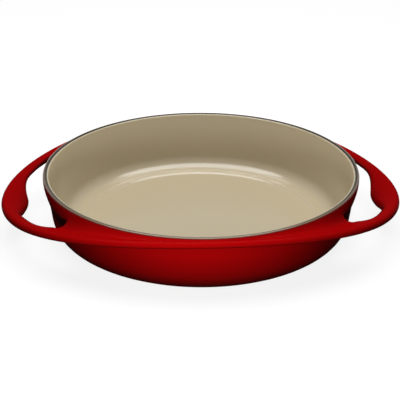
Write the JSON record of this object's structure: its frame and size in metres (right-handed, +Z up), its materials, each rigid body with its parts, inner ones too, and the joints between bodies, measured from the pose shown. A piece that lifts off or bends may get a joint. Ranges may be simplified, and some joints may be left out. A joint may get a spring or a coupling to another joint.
{
  "type": "tarte tatin dish",
  "caption": "Shallow round enamelled cast-iron baking dish with a drooping apron that widens into a loop handle at each side, for baking upside-down tarts.",
  "frame": {"origin": "centre of the foot ring on the resting plane", "axes": "+X along the line through both handles, +Y across the dish, +Z up out of the bowl"},
  "size_m": [0.33, 0.266, 0.051],
  "materials": {
    "iron": "dark matte cast iron under a ground coat, bare only on the foot ring",
    "red_enamel": "deep cherry-red glossy vitreous enamel",
    "sand_enamel": "pale sand glossy vitreous enamel",
    "ground_coat": "grey semi-matte enamel ground coat",
    "base_enamel": "red enamel, semi-matte from firing supports"
  },
  "bodies": {
    "root": {"iron_casting": "iron", "exterior_enamel": "red_enamel", "interior_enamel": "sand_enamel", "rim_ground_coat": "ground_coat", "base_enamel": "base_enamel"}
  },
  "joints": []
}
